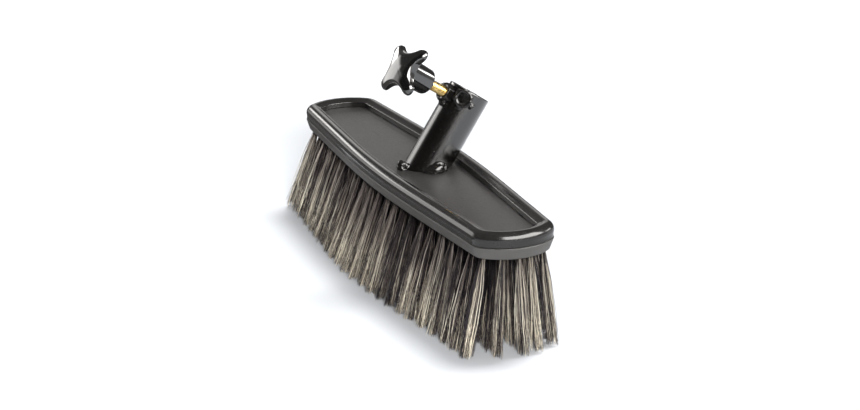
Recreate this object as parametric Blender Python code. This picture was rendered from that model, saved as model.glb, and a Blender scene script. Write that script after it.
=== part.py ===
"""Push-on wash brush for a spray lance, in metres, +Z up.

The head lies along X and the bristle tips stand on z = 0. The socket tube
leans towards +Y, and the clamp screw points up and away from it, towards -Y.
"""

import math

import bmesh
import bpy
from mathutils import Matrix, Vector

# Head, seen from above
head_length = 0.270
head_width = 0.0594
flank_angle = math.radians(3.86)
flank_bend_radius = 0.70
end_setback = 0.0097
end_crown_share = 0.815
corner_radius = 0.004
least_radius = 0.0005

# Clearances and cutters
gap = 0.0003
overrun = 0.002

# Block
bristle_length = 0.0515
skirt_height = 0.0065
skirt_draft = 0.0019
skirt_edge_round = 0.0004
pocket_wall = 0.0010
backing_depth = 0.003

# Back plate
plate_thickness = 0.003
plate_edge_inset = 0.0046

# Plate screws, hidden under the bumper's lip
plate_screw_diameter = 0.0022
plate_screw_head = 0.0044
plate_screw_head_depth = 0.0011
plate_screw_length = 0.0052
plate_screw_inset = 0.0070
plate_screw_place_shares = (-0.78, 0.0, 0.78)

# Bumper
bead_radius = 0.0043
bead_height = 0.0081
lip_overlap = 0.0042
lip_edge_height = 0.0030
lip_edge_round = 0.0005
bead_outer_turn = math.radians(-20)
bead_inner_turn = math.radians(118)
tongue_width = 0.0010
tongue_inset = 0.0031
tongue_depth = 0.0018

# Socket tube
tube_diameter = 0.024
tube_wall = 0.0015
tube_lean = math.radians(32.5)
tube_lip_clearance = 0.00047
tube_length = 0.0481

# Nuts and the clamp screw
nut_flats = 0.010
nut_height = 0.005
nut_chamfer = 0.0007
screw_diameter = 0.006
screw_nut_turn = math.radians(-10.5)
screw_nut_drop = 0.0072
spare_nut_drop = 0.0052
screw_showing = 0.0127
screw_in_hub = 0.010

# Pressure pad
pad_diameter = 0.005
pad_thickness = 0.0018
pad_stem_diameter = 0.0022
pad_stem_length = 0.0028

# Knob
knob_reach = 0.0174
lobe_tip_radius = 0.0034
knob_waist_radius = 0.0091
knob_rim_height = 0.0028
knob_crown = 0.0039
crown_ring_shares = (0.8, 0.55, 0.3, 0.1)
knob_edge_round = 0.0012
knob_wall = 0.0018
knob_roof = 0.0020
knob_turn = math.radians(56.5)
hub_diameter = 0.0158
hub_end_diameter = 0.0146
hub_length = 0.0160
hub_edge_round = 0.0010

# Weld beads
front_weld_length = 0.0080
side_weld_length = 0.0125
foot_weld_width = 0.0030
foot_weld_height = 0.0034
front_weld_turn = math.radians(272)
side_weld_turns = (0.0, math.pi)
nut_weld_length = 0.0036
nut_weld_width = 0.0018
nut_weld_turns = (math.radians(75), 0.0)

# Bristles
row_count = 5
tufts_in_row = 23
strands_in_tuft = 4
tuft_radius = 0.0019
tuft_tip_radius = 0.0036
strand_radius = 0.0011
strand_tip_radius = 0.0015
strand_root_depth = 0.0012
flare_along_share = 0.09
flare_across_share = 0.60
end_flare_loss_share = 0.75
end_flare_power = 6

# Heights that the pieces share
block_bottom = bristle_length
block_top = block_bottom + skirt_height
plate_bottom = block_top + gap
plate_top = plate_bottom + plate_thickness
backing_top = block_bottom + backing_depth

# Counts of facets, and the angle past which an edge stays sharp
round_facets = 40
hub_facets = 24
small_facets = 20
screw_facets = 12
bead_steps = 10
sharp_angle = math.radians(32)


def clear_scene():
    for item in list(bpy.data.objects):
        bpy.data.objects.remove(item, do_unlink=True)


def principled(name, colour, roughness, metallic):
    surface = bpy.data.materials.new(name)
    surface.use_nodes = True
    shader = surface.node_tree.nodes["Principled BSDF"]
    shader.inputs["Base Color"].default_value = (*colour, 1)
    shader.inputs["Roughness"].default_value = roughness
    shader.inputs["Metallic"].default_value = metallic
    return surface


def add_object(name, shape, surface=None, place=None):
    bmesh.ops.recalc_face_normals(shape, faces=shape.faces)
    mesh = bpy.data.meshes.new(name)
    shape.to_mesh(mesh)
    shape.free()
    mesh.shade_smooth()
    mesh.set_sharp_from_angle(angle=sharp_angle)
    item = bpy.data.objects.new(name, mesh)
    bpy.context.collection.objects.link(item)
    if place is not None:
        item.matrix_world = place
    if surface is not None:
        mesh.materials.append(surface)
    return item


def add_cutter(name, shape, place=None):
    item = add_object(name, shape, place=place)
    item.hide_render = True
    item.display_type = "WIRE"
    return item


def combine(item, other, operation):
    step = item.modifiers.new(other.name, "BOOLEAN")
    step.operation = operation
    step.solver = "EXACT"
    step.object = other


def cut(item, *cutters):
    for cutter in cutters:
        combine(item, cutter, "DIFFERENCE")


def loft(rings, closed=False, shape=None):
    """Skin of quads over rings of equal count; closed joins the last ring to the first."""
    shape = shape or bmesh.new()
    loops = [[shape.verts.new(point) for point in ring] for ring in rings]
    count = len(loops[0])
    pairs = list(zip(loops, loops[1:]))
    if closed:
        pairs.append((loops[-1], loops[0]))
    for lower, upper in pairs:
        for i in range(count):
            j = (i + 1) % count
            shape.faces.new((lower[i], lower[j], upper[j], upper[i]))
    if not closed:
        shape.faces.new(loops[0][::-1])
        shape.faces.new(loops[-1])
    return shape


def circle(radius, z, facets):
    turns = [math.tau * i / facets for i in range(facets)]
    return [(radius * math.cos(a), radius * math.sin(a), z) for a in turns]


def turned(profile, facets, closed=False):
    """Solid of revolution about Z from (radius, z) points."""
    return loft([circle(r, z, facets) for r, z in profile], closed)


def facing(direction, origin, up):
    """Matrix whose Z is the direction and whose X lies as near as it can to up."""
    z = direction.normalized()
    x = (up - z * up.dot(z)).normalized()
    y = z.cross(x)
    turn = Matrix((x, y, z)).transposed().to_4x4()
    return Matrix.Translation(origin) @ turn


def rounded_corner(corner, before, after, radius, steps):
    """Arc that rounds a corner of a convex outline running counter-clockwise."""
    inward_in = Vector((-before.y, before.x))
    inward_out = Vector((-after.y, after.x))
    bend = inward_in.angle(inward_out)
    bisector = (inward_in + inward_out).normalized()
    centre = corner + bisector * radius / math.cos(bend / 2)
    start = math.atan2(-inward_in.y, -inward_in.x)
    turns = [start + bend * i / steps for i in range(steps + 1)]
    return [centre + radius * Vector((math.cos(a), math.sin(a))) for a in turns]


def head_corners():
    """Corners of the head's plan before rounding, with their radii and arc steps."""
    side = head_width / 2 + flank_bend_radius * (1 / math.cos(flank_angle) - 1)
    x = head_length / 2 - end_setback
    y = side - x * math.tan(flank_angle)
    crown = end_setback * end_crown_share
    tip = head_length / 2 + crown
    end_bend = math.atan2(tip - x, y)
    end_radius = crown / (1 / math.cos(end_bend) - 1)
    return [
        (Vector((0, -side)), flank_bend_radius, 4),
        (Vector((x, -y)), corner_radius, 4),
        (Vector((tip, 0)), end_radius, 10),
        (Vector((x, y)), corner_radius, 4),
        (Vector((0, side)), flank_bend_radius, 4),
        (Vector((-x, y)), corner_radius, 4),
        (Vector((-tip, 0)), end_radius, 10),
        (Vector((-x, -y)), corner_radius, 4),
    ]


def moved_corners(inset):
    """The plan's corners moved inwards, each as (corner, edge before, edge after, radius, steps)."""
    corners = head_corners()
    moved = []
    for i, (corner, radius, steps) in enumerate(corners):
        before = (corner - corners[i - 1][0]).normalized()
        after = (corners[(i + 1) % len(corners)][0] - corner).normalized()
        inward_in = Vector((-before.y, before.x))
        inward_out = Vector((-after.y, after.x))
        shift = (inward_in + inward_out) / (1 + inward_in.dot(inward_out))
        moved.append((corner + shift * inset, before, after, max(radius - inset, least_radius), steps))
    return moved


def head_outline(inset, z=0.0):
    """Plan outline of the head moved inwards by the inset, at height z."""
    points = []
    for corner in moved_corners(inset):
        points += rounded_corner(*corner)
    return [(p.x, p.y, z) for p in points]


def flank_offset(x, inset):
    """Distance of the long side from the X axis at x, moved inwards by the inset."""
    side = head_corners()[4][0].y
    bend = flank_bend_radius - inset
    if abs(x) < bend * math.sin(flank_angle):
        return side - flank_bend_radius / math.cos(flank_angle) + math.sqrt(bend ** 2 - x ** 2)
    return side - inset / math.cos(flank_angle) - abs(x) * math.tan(flank_angle)


def end_offset(y, inset):
    """Distance of the end from the Y axis at y, moved inwards by the inset."""
    outline = head_outline(inset)
    reach = 0.0
    for (x0, y0, _), (x1, y1, _) in zip(outline, outline[1:]):
        if x0 > 0 and y0 <= y <= y1:
            reach = max(reach, x0 + (x1 - x0) * (y - y0) / (y1 - y0))
    return reach


# Directions of the tube and of the screws on it
tube_axis = Vector((0, math.sin(tube_lean), math.cos(tube_lean)))
tube_front = Vector((0, -math.cos(tube_lean), math.sin(tube_lean)))
tube_radius = tube_diameter / 2
lip_height = gap + lip_edge_height
lip_side = flank_offset(0, plate_edge_inset + lip_overlap)
tube_half_depth = (tube_radius + tube_lip_clearance + lip_height * math.sin(tube_lean)) / math.cos(tube_lean)
tube_foot_y = lip_side - tube_half_depth
tube_foot = Vector((0, tube_foot_y, plate_top))
tube_top = tube_foot + tube_axis * tube_length
bore_radius = tube_radius - tube_wall
nut_seat = tube_radius + gap
nut_face = nut_seat + nut_height
thread_hole_radius = screw_diameter / 2 + gap


def radial(turn):
    """Direction square to the tube, turned from its front side towards -X."""
    return tube_front * math.cos(turn) - Vector((1, 0, 0)) * math.sin(turn)


def screw_frame(turn, drop):
    """Frame on the tube's axis whose Z is a screw's outward direction."""
    return facing(radial(turn), tube_top - tube_axis * drop, -tube_axis)


spare_nut_turn = screw_nut_turn - 2 * math.atan((nut_flats / 2 + gap) / nut_seat)
screw_place = screw_frame(screw_nut_turn, screw_nut_drop)
spare_place = screw_frame(spare_nut_turn, spare_nut_drop)


def tube_frame():
    return facing(tube_axis, tube_top, tube_front)


def add_block(surface):
    rings = [
        head_outline(skirt_draft, block_bottom),
        head_outline(0, block_top - skirt_edge_round),
        head_outline(skirt_edge_round, block_top),
    ]
    block = add_object("brush_block", loft(rings), surface)
    pocket = loft([
        head_outline(skirt_draft + pocket_wall, block_bottom - overrun),
        head_outline(skirt_draft + pocket_wall, backing_top + gap),
    ])
    slot = loft([
        head_outline(tongue_inset - tongue_width / 2 - gap, block_top - tongue_depth - gap),
        head_outline(tongue_inset - tongue_width / 2 - gap, block_top + overrun),
        head_outline(tongue_inset + tongue_width / 2 + gap, block_top + overrun),
        head_outline(tongue_inset + tongue_width / 2 + gap, block_top - tongue_depth - gap),
    ], closed=True)
    cut(block, add_cutter("block_pocket", pocket), add_cutter("tongue_slot", slot))
    return block


def bumper_profile():
    """Section of the bumper as (inset, z), from the tongue round the bead to the lip."""
    centre_z = block_top + bead_height - bead_radius
    foot = block_top + gap
    lip_inset = plate_edge_inset + lip_overlap
    lip_under = plate_top + gap
    lip_edge = lip_under + lip_edge_height
    sweep = bead_inner_turn - bead_outer_turn
    turns = [bead_outer_turn + sweep * i / bead_steps for i in range(bead_steps + 1)]
    bead = [
        (bead_radius * (1 - math.cos(a)), centre_z + bead_radius * math.sin(a))
        for a in turns
    ]
    return [
        (tongue_inset + tongue_width / 2, block_top - tongue_depth),
        (tongue_inset - tongue_width / 2, block_top - tongue_depth),
        (tongue_inset - tongue_width / 2, foot),
        (bead[0][0] + skirt_edge_round, foot),
        (bead[0][0], foot + skirt_edge_round),
        *bead,
        (lip_inset - lip_edge_round, lip_edge),
        (lip_inset, lip_edge - lip_edge_round),
        (lip_inset, lip_under),
        (plate_edge_inset - gap, lip_under),
        (plate_edge_inset - gap, foot),
        (tongue_inset + tongue_width / 2, foot),
    ]


def add_bumper(surface):
    rings = [head_outline(inset, z) for inset, z in bumper_profile()]
    return add_object("bumper_rim", loft(rings, closed=True), surface)


def plate_screw_spots():
    """Places of the plate screws, along both long sides under the bumper's lip."""
    reach = head_corners()[3][0].x
    spots = []
    for side in (-1, 1):
        for share in plate_screw_place_shares:
            x = share * reach
            spots.append((x, side * flank_offset(x, plate_screw_inset)))
    return spots


def plate_screw_shape(x, y, spread, sink):
    """Countersunk screw at (x, y), larger by the spread and longer by the sink at both ends."""
    head = plate_screw_head / 2 + spread
    shank = plate_screw_diameter / 2 + spread
    neck = plate_top - plate_screw_head_depth - spread
    profile = [(shank, plate_top - plate_screw_length - sink), (shank, neck), (head, plate_top)]
    if sink:
        profile.append((head, plate_top + sink))
    rings = []
    for radius, z in profile:
        rings.append([(x + px, y + py, pz) for px, py, pz in circle(radius, z, screw_facets)])
    return loft(rings)


def add_plate(surface):
    rings = [head_outline(plate_edge_inset, z) for z in (plate_bottom, plate_top)]
    plate = add_object("back_plate", loft(rings), surface)
    block = bpy.data.objects["brush_block"]
    for number, (x, y) in enumerate(plate_screw_spots(), start=1):
        hole = add_cutter(f"plate_screw_hole_{number}", plate_screw_shape(x, y, gap, gap))
        cut(plate, hole)
        cut(block, hole)
    return plate


def add_plate_screws(surface):
    for number, (x, y) in enumerate(plate_screw_spots(), start=1):
        add_object(f"plate_screw_{number}", plate_screw_shape(x, y, 0, 0), surface)


def add_tube(surface):
    below = tube_length + tube_diameter
    profile = [
        (tube_radius, -below),
        (tube_radius, 0),
        (bore_radius, 0),
        (bore_radius, -below),
    ]
    tube = add_object("socket_tube", turned(profile, round_facets, closed=True), surface, tube_frame())
    floor = bmesh.new()
    bmesh.ops.create_cube(floor, size=1)
    height = below + tube_diameter
    foot_cut = Matrix.Translation((0, 0, plate_top + gap - height / 2))
    bmesh.ops.transform(floor, verts=floor.verts, matrix=Matrix.Diagonal((height, 2 * height, height, 1)))
    cut(tube, add_cutter("foot_plane", floor, foot_cut))
    for name, place in (("screw_hole", screw_place), ("spare_hole", spare_place)):
        hole = turned([(thread_hole_radius, 0), (thread_hole_radius, nut_seat)], small_facets)
        cut(tube, add_cutter(name, hole, place))
    return tube


def add_nut(name, surface, place):
    corner = nut_flats / 2 / math.cos(math.pi / 6)
    nut = add_object(name, turned([(corner, nut_seat), (corner, nut_face)], 6), surface, place)
    chamfer = turned([
        (nut_flats / 2, nut_seat),
        (corner + gap, nut_seat + nut_chamfer),
        (corner + gap, nut_face - nut_chamfer),
        (nut_flats / 2, nut_face),
    ], hub_facets)
    combine(nut, add_cutter(name + "_chamfer", chamfer, place), "INTERSECT")
    bore = turned([
        (thread_hole_radius, nut_seat - overrun),
        (thread_hole_radius, nut_face - nut_chamfer),
        (thread_hole_radius + nut_chamfer + overrun, nut_face + overrun),
    ], small_facets)
    cut(nut, add_cutter(name + "_bore", bore, place))
    return nut


def add_screw(surface):
    tip = bore_radius + pad_thickness + gap
    end = nut_face + screw_showing + screw_in_hub
    radius = screw_diameter / 2
    bore = pad_stem_diameter / 2 + gap
    profile = [
        (radius, end),
        (radius, tip + nut_chamfer),
        (radius - nut_chamfer, tip),
        (bore, tip),
        (bore, tip + pad_stem_length + gap),
    ]
    return add_object("clamp_screw", turned(profile[::-1], small_facets), surface, screw_place)


def add_pad(surface):
    stem_end = bore_radius + pad_thickness + pad_stem_length
    profile = [
        (pad_diameter / 2 - gap, bore_radius),
        (pad_diameter / 2, bore_radius + gap),
        (pad_diameter / 2, bore_radius + pad_thickness),
        (pad_stem_diameter / 2, bore_radius + pad_thickness),
        (pad_stem_diameter / 2, stem_end),
    ]
    return add_object("pressure_pad", turned(profile, small_facets), surface, screw_place)


def knob_outline(inset, z):
    """Four round lobes joined by hollow flanks, moved inwards by the inset."""
    tip = lobe_tip_radius - inset
    waist = knob_waist_radius - inset
    far = knob_reach - lobe_tip_radius
    flank = (far ** 2 + waist ** 2 - math.sqrt(2) * far * waist - tip ** 2) / (
        math.sqrt(2) * far + 2 * tip - 2 * waist)
    centre = waist + flank
    meet_y = centre / math.sqrt(2)
    meet = math.atan2(meet_y, meet_y - far)
    points = []
    for lobe in range(4):
        turn = knob_turn + lobe * math.pi / 2
        for i in range(7):
            a = meet * (i / 3 - 1)
            x = far + tip * math.cos(a)
            y = tip * math.sin(a)
            points.append((x * math.cos(turn) - y * math.sin(turn),
                           x * math.sin(turn) + y * math.cos(turn), z))
        middle = turn + math.pi / 4
        sweep = math.pi / 2 - (meet - math.pi / 4)
        for i in range(1, 6):
            a = sweep * (1 - i / 3)
            x = centre - flank * math.cos(a)
            y = -flank * math.sin(a)
            points.append((x * math.cos(middle) - y * math.sin(middle),
                           x * math.sin(middle) + y * math.cos(middle), z))
    return points


def crown_height(radius):
    """Height of the knob's domed top above the rim of the lobe tips."""
    dome_radius = (knob_reach ** 2 + knob_crown ** 2) / (2 * knob_crown)
    return math.sqrt(dome_radius ** 2 - radius ** 2) - dome_radius + knob_crown


def crowned_outline(inset, rim, share=1.0):
    """The knob's outline shrunk to a share of its size and laid on a dome with its rim at z."""
    points = [(x * share, y * share) for x, y, _ in knob_outline(inset, rim)]
    return [(x, y, rim + crown_height(math.hypot(x, y))) for x, y in points]


def crowned_rings(inset, rim):
    """Rings that close the knob's top, from the outline to the middle of the dome."""
    return [crowned_outline(inset, rim, share) for share in (1.0, *crown_ring_shares)]


def add_knob(surface):
    hub_end = nut_face + screw_showing
    under = hub_end + hub_length
    rim = under + knob_rim_height
    eased = knob_edge_round * (1 - math.sqrt(0.5))
    knob = add_object("clamp_knob", loft([
        knob_outline(knob_edge_round / 2, under),
        knob_outline(0, under + knob_edge_round / 2),
        crowned_outline(0, rim - knob_edge_round),
        crowned_outline(eased, rim - eased),
        *crowned_rings(knob_edge_round, rim),
    ]), surface, screw_place)
    hollow = loft([
        knob_outline(knob_wall, under - overrun),
        *crowned_rings(knob_wall, rim - knob_roof),
    ])
    cut(knob, add_cutter("knob_hollow", hollow, screw_place))
    hub_radius = hub_diameter / 2
    end_radius = hub_end_diameter / 2
    eased = hub_edge_round * (1 - math.sqrt(0.5))
    hub = turned([
        (end_radius - hub_edge_round, hub_end),
        (end_radius - eased, hub_end + eased),
        (end_radius, hub_end + hub_edge_round),
        (hub_radius, under),
        (hub_radius, rim + crown_height(hub_radius) - knob_roof / 2),
    ], hub_facets)
    combine(knob, add_cutter("knob_hub", hub, screw_place), "UNION")
    bore_end = nut_face + screw_showing + screw_in_hub + gap
    bore = turned([
        (thread_hole_radius, hub_end - overrun),
        (thread_hole_radius, bore_end),
    ], small_facets)
    cut(knob, add_cutter("knob_bore", bore, screw_place))
    return knob


def foot_weld_shape(turn, length):
    """Rounded bead bent round the tube's foot, with its middle at the turn."""
    stretch = 1 / math.cos(tube_lean)
    reach = tube_radius + gap
    middle_y = tube_foot_y + reach * stretch * math.sin(turn)
    lip_room = (lip_side - abs(middle_y) - gap) / stretch
    width = min(foot_weld_width, lip_room)
    shape = bmesh.new()
    bmesh.ops.create_icosphere(shape, subdivisions=2, radius=1)
    for vertex in shape.verts:
        a = turn + vertex.co.x * length / 2 / reach
        out = reach + vertex.co.y * width
        z = plate_top + gap + vertex.co.z * foot_weld_height
        vertex.co = (out * math.cos(a), tube_foot_y + out * stretch * math.sin(a), z)
    return shape


def add_foot_welds(surface):
    """Weld beads in the corner between the tube's foot and the plate."""
    envelope_length = tube_length + tube_diameter
    envelope = add_cutter("tube_envelope", turned([
        (tube_radius + gap, -envelope_length),
        (tube_radius + gap, overrun),
    ], round_facets), tube_frame())
    floor = bmesh.new()
    bmesh.ops.create_cube(floor, size=tube_length)
    floor_place = Matrix.Translation((0, 0, plate_top + gap - tube_length / 2))
    floor = add_cutter("plate_plane", floor, floor_place)
    beads = [(front_weld_turn, front_weld_length)]
    beads += [(turn, side_weld_length) for turn in side_weld_turns]
    for number, bead in enumerate(beads, start=1):
        weld = add_object(f"foot_weld_{number}", foot_weld_shape(*bead), surface)
        cut(weld, envelope, floor)


def nut_weld_shape(turn):
    """Rounded lump across the foot of a nut, in the nut's own frame."""
    corner = nut_flats / 2 / math.cos(math.pi / 6)
    rise = math.sqrt(tube_radius ** 2 - (corner * math.sin(turn)) ** 2)
    shape = bmesh.new()
    bmesh.ops.create_icosphere(shape, subdivisions=2, radius=1)
    sizes = Matrix.Diagonal((nut_weld_width, nut_weld_length / 2, nut_weld_width, 1))
    place = Matrix.Rotation(turn, 4, "Z") @ Matrix.Translation((corner, 0, rise + nut_weld_width / 2))
    bmesh.ops.transform(shape, verts=shape.verts, matrix=place @ sizes)
    return shape


def add_nut_welds(surface):
    """Short beads at the side and the foot of each nut, away from the other nut."""
    envelope = bpy.data.objects["tube_envelope"]
    corner = nut_flats / 2 / math.cos(math.pi / 6)
    for nut, place, side in (("screw_nut", screw_place, -1), ("spare_nut", spare_place, 1)):
        room = turned([(corner + gap, nut_seat - gap), (corner + gap, nut_face + gap)], 6)
        room = add_cutter(nut + "_room", room, place)
        for number, turn in enumerate(nut_weld_turns, start=1):
            weld = add_object(f"{nut}_weld_{number}", nut_weld_shape(side * turn), surface, place)
            cut(weld, envelope, room)


def row_edges():
    """Shares of the half width at which one tuft row's backing ends and the next begins."""
    return [2 * i / row_count - 1 for i in range(row_count + 1)]


def backing_strip_shape(low, high):
    """Bent strip between two shares of the half width, longer than the head."""
    inset = skirt_draft + pocket_wall
    far = head_length / 2
    points = [(-far, low), (0, low), (far, low), (far, high), (0, high), (-far, high)]
    rings = []
    for z in (block_bottom, backing_top):
        ring = []
        for x, share in points:
            edge = share * flank_offset(x, inset)
            inner = math.copysign(gap / 2, high - low)
            edge += inner if share == low else -inner
            ring.append((x, edge, z))
        rings.append(ring)
    return loft(rings)


def add_strand(shape, root, tip, turn):
    """Three-sided bristle, cut level at its root and at its tip."""
    rings = []
    for centre, radius in ((tip, strand_tip_radius), (root, strand_radius)):
        turns = [turn + math.tau * i / 3 for i in range(3)]
        rings.append([centre + Vector((radius * math.cos(a), radius * math.sin(a), 0)) for a in turns])
    loft(rings, shape=shape)


def row_strands(share):
    """Strands of all the tufts of one row, flaring away from the middle of the head."""
    shape = bmesh.new()
    inset = skirt_draft + pocket_wall + 2 * gap + tuft_radius + strand_radius
    root_z = block_bottom + strand_root_depth
    corner_y = moved_corners(inset)[3][0].y
    reach = end_offset(share * corner_y, inset)
    for i in range(tufts_in_row):
        place = 2 * i / (tufts_in_row - 1) - 1
        x = reach * place
        y = share * flank_offset(x, inset)
        flare = flare_across_share * (1 - end_flare_loss_share * abs(place) ** end_flare_power)
        for k in range(strands_in_tuft):
            turn = math.tau * (k + (i % 2) / 2) / strands_in_tuft
            side = Vector((math.cos(turn), math.sin(turn), 0))
            root = Vector((x, y, root_z)) + side * tuft_radius
            tip = Vector((x * (1 + flare_along_share), y * (1 + flare), 0))
            add_strand(shape, root, tip + side * tuft_tip_radius, turn)
    return shape


def add_tuft_rows(surface):
    filler = add_cutter("backing_outline", loft([
        head_outline(skirt_draft + pocket_wall + gap, block_bottom - overrun),
        head_outline(skirt_draft + pocket_wall + gap, backing_top + overrun),
    ]))
    edges = row_edges()
    for row, (low, high) in enumerate(zip(edges, edges[1:]), start=1):
        name = f"tuft_row_{row}"
        strip = add_object(name, backing_strip_shape(low, high), surface)
        combine(strip, filler, "INTERSECT")
        share = 2 * (row - 1) / (row_count - 1) - 1
        combine(strip, add_cutter(name + "_strands", row_strands(share)), "UNION")


def build():
    clear_scene()
    moulded_grey = principled("block_plastic", (0.050, 0.047, 0.043), 0.62, 0.0)
    rubber = principled("bumper_rubber", (0.018, 0.017, 0.016), 0.28, 0.0)
    painted = principled("plate_paint", (0.024, 0.023, 0.022), 0.45, 0.0)
    tube_paint = principled("tube_paint", (0.022, 0.021, 0.020), 0.32, 0.0)
    weld_paint = principled("weld_paint", (0.020, 0.019, 0.018), 0.25, 0.0)
    steel = principled("screw_steel", (0.42, 0.42, 0.43), 0.35, 1.0)
    brass = principled("screw_brass", (0.78, 0.57, 0.25), 0.30, 1.0)
    knob_plastic = principled("knob_plastic", (0.012, 0.012, 0.012), 0.16, 0.0)
    hair = principled("bristle_hair", (0.17, 0.145, 0.12), 0.6, 0.0)
    add_block(moulded_grey)
    add_bumper(rubber)
    add_plate(painted)
    add_plate_screws(steel)
    add_tube(tube_paint)
    add_foot_welds(weld_paint)
    add_nut("screw_nut", tube_paint, screw_place)
    add_nut("spare_nut", tube_paint, spare_place)
    add_nut_welds(weld_paint)
    add_screw(brass)
    add_pad(brass)
    add_knob(knob_plastic)
    add_tuft_rows(hair)
    bpy.context.view_layer.update()


build()
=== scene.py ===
import math

import bpy
import numpy as np
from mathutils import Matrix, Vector


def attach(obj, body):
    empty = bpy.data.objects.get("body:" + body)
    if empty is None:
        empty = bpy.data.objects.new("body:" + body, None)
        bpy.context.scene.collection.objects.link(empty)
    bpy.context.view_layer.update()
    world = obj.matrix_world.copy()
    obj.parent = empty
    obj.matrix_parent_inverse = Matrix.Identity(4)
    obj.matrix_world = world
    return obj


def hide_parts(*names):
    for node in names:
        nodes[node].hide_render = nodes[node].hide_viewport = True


# Looks of a push-on wash brush: bristles, rubber bumper, steel socket tube and clamp screw.
# Lengths are in metres and turns in degrees. The brush stands on z = 0 and its head lies along X.

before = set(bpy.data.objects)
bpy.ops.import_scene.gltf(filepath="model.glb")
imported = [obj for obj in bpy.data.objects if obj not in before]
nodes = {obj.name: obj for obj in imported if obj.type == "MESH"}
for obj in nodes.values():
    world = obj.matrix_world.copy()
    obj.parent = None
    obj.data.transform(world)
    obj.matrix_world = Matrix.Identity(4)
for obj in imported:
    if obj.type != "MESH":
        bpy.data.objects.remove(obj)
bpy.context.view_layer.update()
print("frame loaded:", len(nodes), "solids")


# Mesh helpers

def facesOfGrid(rows, cols, wrapRows=False, wrapCols=False):
    # Quads between neighbouring points of a grid numbered row by row; a wrapped side joins last to first.
    row = np.arange(rows if wrapRows else rows - 1)[:, None]
    col = np.arange(cols if wrapCols else cols - 1)[None, :]
    nextRow, nextCol = (row + 1) % rows, (col + 1) % cols
    quads = [row * cols + col, row * cols + nextCol, nextRow * cols + nextCol, nextRow * cols + col]
    return np.stack(quads, axis=-1).reshape(-1, 4)


def ringCap(start, count):
    # A flat polygon over one ring of the grid.
    return np.arange(start, start + count)[None, :]


def cappedFaces(rows, cols):
    # Faces of a grid whose rings are closed, with a flat polygon over the first ring and the last.
    sides = facesOfGrid(rows, cols, wrapCols=True)
    return [sides, ringCap(0, cols)[:, ::-1], ringCap((rows - 1) * cols, cols)]


def fullTurn(steps):
    # The angles of one turn in equal steps, in radians.
    return 2 * np.pi * np.arange(steps) / steps


def circle(radius, turns):
    # Points (radius cos a, radius sin a) for each angle a; the radius may differ from angle to angle.
    return np.stack([radius * np.cos(turns), radius * np.sin(turns)], axis=1)


def arc(radius, start, end, steps):
    # The points of a circle from start to end.
    return circle(radius, np.radians(np.linspace(start, end, steps + 1)))


def ringAt(outline, height):
    # The points of an outline at a height, which is one number or one for each point.
    return np.column_stack([outline, np.broadcast_to(height, len(outline))])


def volumeOf(points, faceSets):
    # Sum of signed tetrahedra between the origin and each fan triangle; negative means inside out.
    total = 0.0
    for faces in faceSets:
        for k in range(1, faces.shape[1] - 1):
            a, b, c = points[faces[:, 0]], points[faces[:, k]], points[faces[:, k + 1]]
            total += np.einsum("ij,ij->i", a, np.cross(b, c)).sum() / 6
    return total


def addObject(name, content):
    item = bpy.data.objects.new(name, content)
    bpy.context.scene.collection.objects.link(item)
    return item


def makePiece(name, points, faceSets, material, body, replaced=(), sharp=None, uvSets=None):
    # One mesh from an (n, 3) array and arrays of faces, turned outwards, riding on its body;
    # edges that bend by more than sharp degrees stay sharp.
    points = np.asarray(points, float).reshape(-1, 3)
    faceSets = [np.asarray(faces, np.int64) for faces in faceSets]
    if volumeOf(points - points.mean(0), faceSets) < 0:
        faceSets = [faces[:, ::-1] for faces in faceSets]
        uvSets = None if uvSets is None else [uvs[:, ::-1] for uvs in uvSets]
    mesh = bpy.data.meshes.new(name)
    mesh.vertices.add(len(points))
    mesh.vertices.foreach_set("co", points.astype(np.float32).ravel())
    corners = np.concatenate([faces.ravel() for faces in faceSets])
    sizes = np.concatenate([np.full(len(faces), faces.shape[1]) for faces in faceSets])
    mesh.loops.add(len(corners))
    mesh.loops.foreach_set("vertex_index", corners.astype(np.int32))
    mesh.polygons.add(len(sizes))
    mesh.polygons.foreach_set("loop_start", (np.cumsum(sizes) - sizes).astype(np.int32))
    if uvSets is not None:
        layer = mesh.uv_layers.new(name="hairMap")
        layer.data.foreach_set("uv", np.concatenate([uvs.reshape(-1) for uvs in uvSets]).astype(np.float32))
    mesh.update(calc_edges=True)
    mesh.validate()
    mesh.shade_smooth()
    if sharp is not None:
        mesh.set_sharp_from_angle(angle=math.radians(sharp))
    mesh.materials.append(material)
    piece = addObject(name, mesh)
    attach(piece, body)
    if replaced:
        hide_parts(*replaced)
    return piece


def mixedWaves(points, seed, size, count=24, sizeSpread=(0.6, 1.8), leastHeight=0.5):
    # Smooth random field: a sum of sine waves of wavelength about size, in random directions and phases.
    random = np.random.default_rng(seed)
    ways = random.normal(size=(count, 3))
    ways /= np.linalg.norm(ways, axis=1)[:, None]
    rates = 2 * np.pi / (size * random.uniform(*sizeSpread, count))
    phases = random.uniform(0, 2 * np.pi, count)
    heights = random.uniform(leastHeight, 1.0, count)
    waves = np.sin((points @ ways.T) * rates + phases) * heights
    return waves.sum(axis=-1) / math.sqrt(count)


# Finishes

def newFinish(name):
    material = bpy.data.materials.new(name)
    material.use_nodes = True
    tree = material.node_tree
    return material, tree, tree.nodes["Principled BSDF"]


def addNode(tree, kind, inputs=None, **settings):
    node = tree.nodes.new(kind)
    for key, value in settings.items():
        setattr(node, key, value)
    for key, value in (inputs or {}).items():
        if isinstance(value, bpy.types.NodeSocket):
            tree.links.new(value, node.inputs[key])
        else:
            node.inputs[key].default_value = value
    return node


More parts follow.
